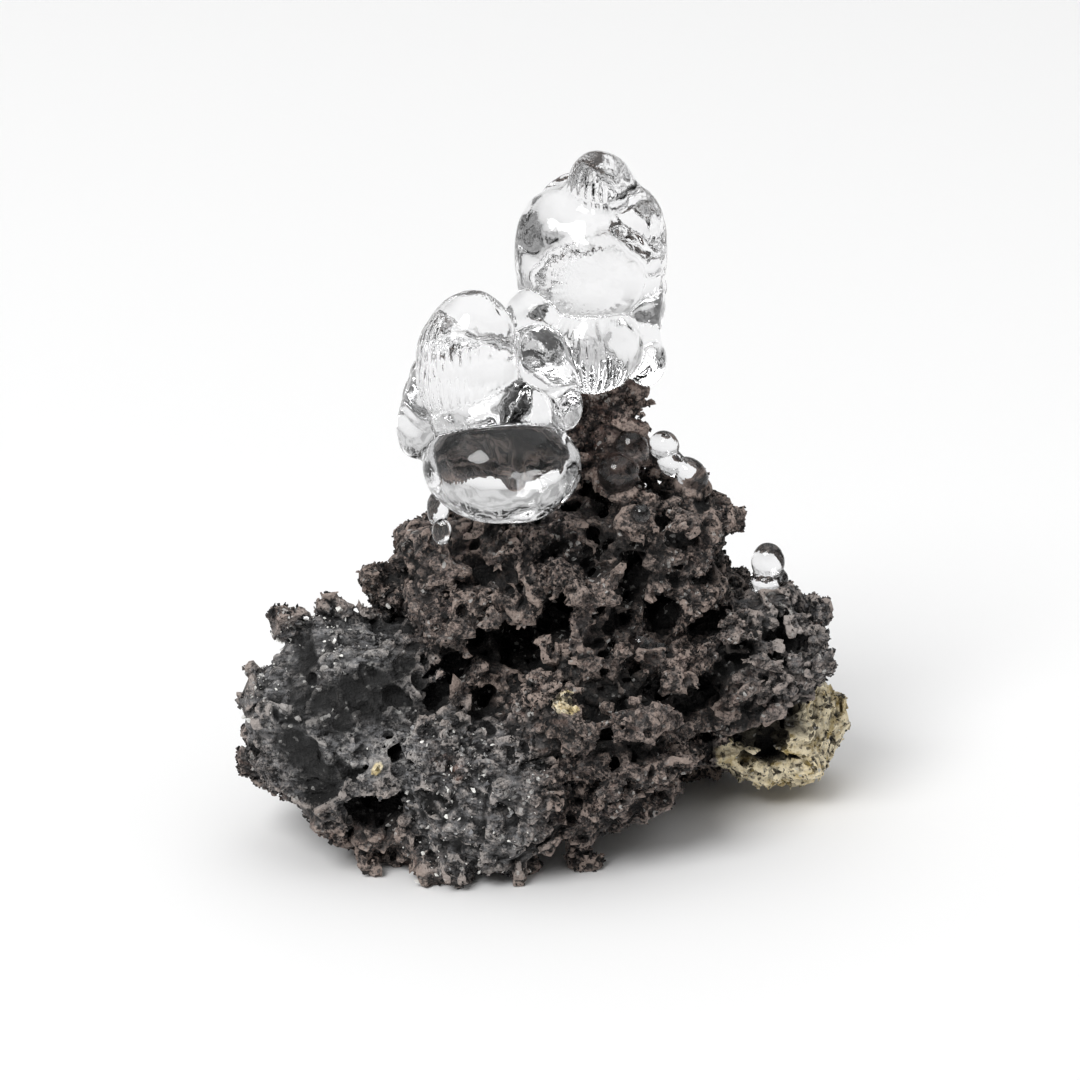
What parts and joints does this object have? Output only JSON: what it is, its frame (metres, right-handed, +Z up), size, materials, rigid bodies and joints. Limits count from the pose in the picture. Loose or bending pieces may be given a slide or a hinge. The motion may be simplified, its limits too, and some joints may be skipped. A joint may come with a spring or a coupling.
{
  "type": "hyalite opal",
  "caption": "Clear, glassy, grape-like opal growing in tall rounded knobs on a rough lump of dark volcanic scoria; a free-standing hand specimen.",
  "frame": {"origin": "on the surface the stone rests on, under the middle of the whole outline seen from above", "axes": "+Z up, +X to the right as seen from the front, +Y away from the front; the side with the big globe of opal is the front and faces -Y"},
  "size_m": [0.043, 0.0304, 0.0476],
  "materials": {
    "scoria": "matt, full of gas bubbles, grey to reddish brown with ochre crust",
    "hyalite": "clear, glassy natural skin",
    "smoky_hyalite": "slightly smoky, glassy natural skin"
  },
  "bodies": {
    "root": {"scoria_matrix": "scoria", "hyalite_tower_and_globe": "hyalite", "hyalite_smoky_buds": "smoky_hyalite", "hyalite_shoulder_buds": "hyalite", "hyalite_knee_bud": "hyalite", "hyalite_crevice_patch": "hyalite", "hyalite_ledge_bead": "hyalite"}
  },
  "joints": []
}
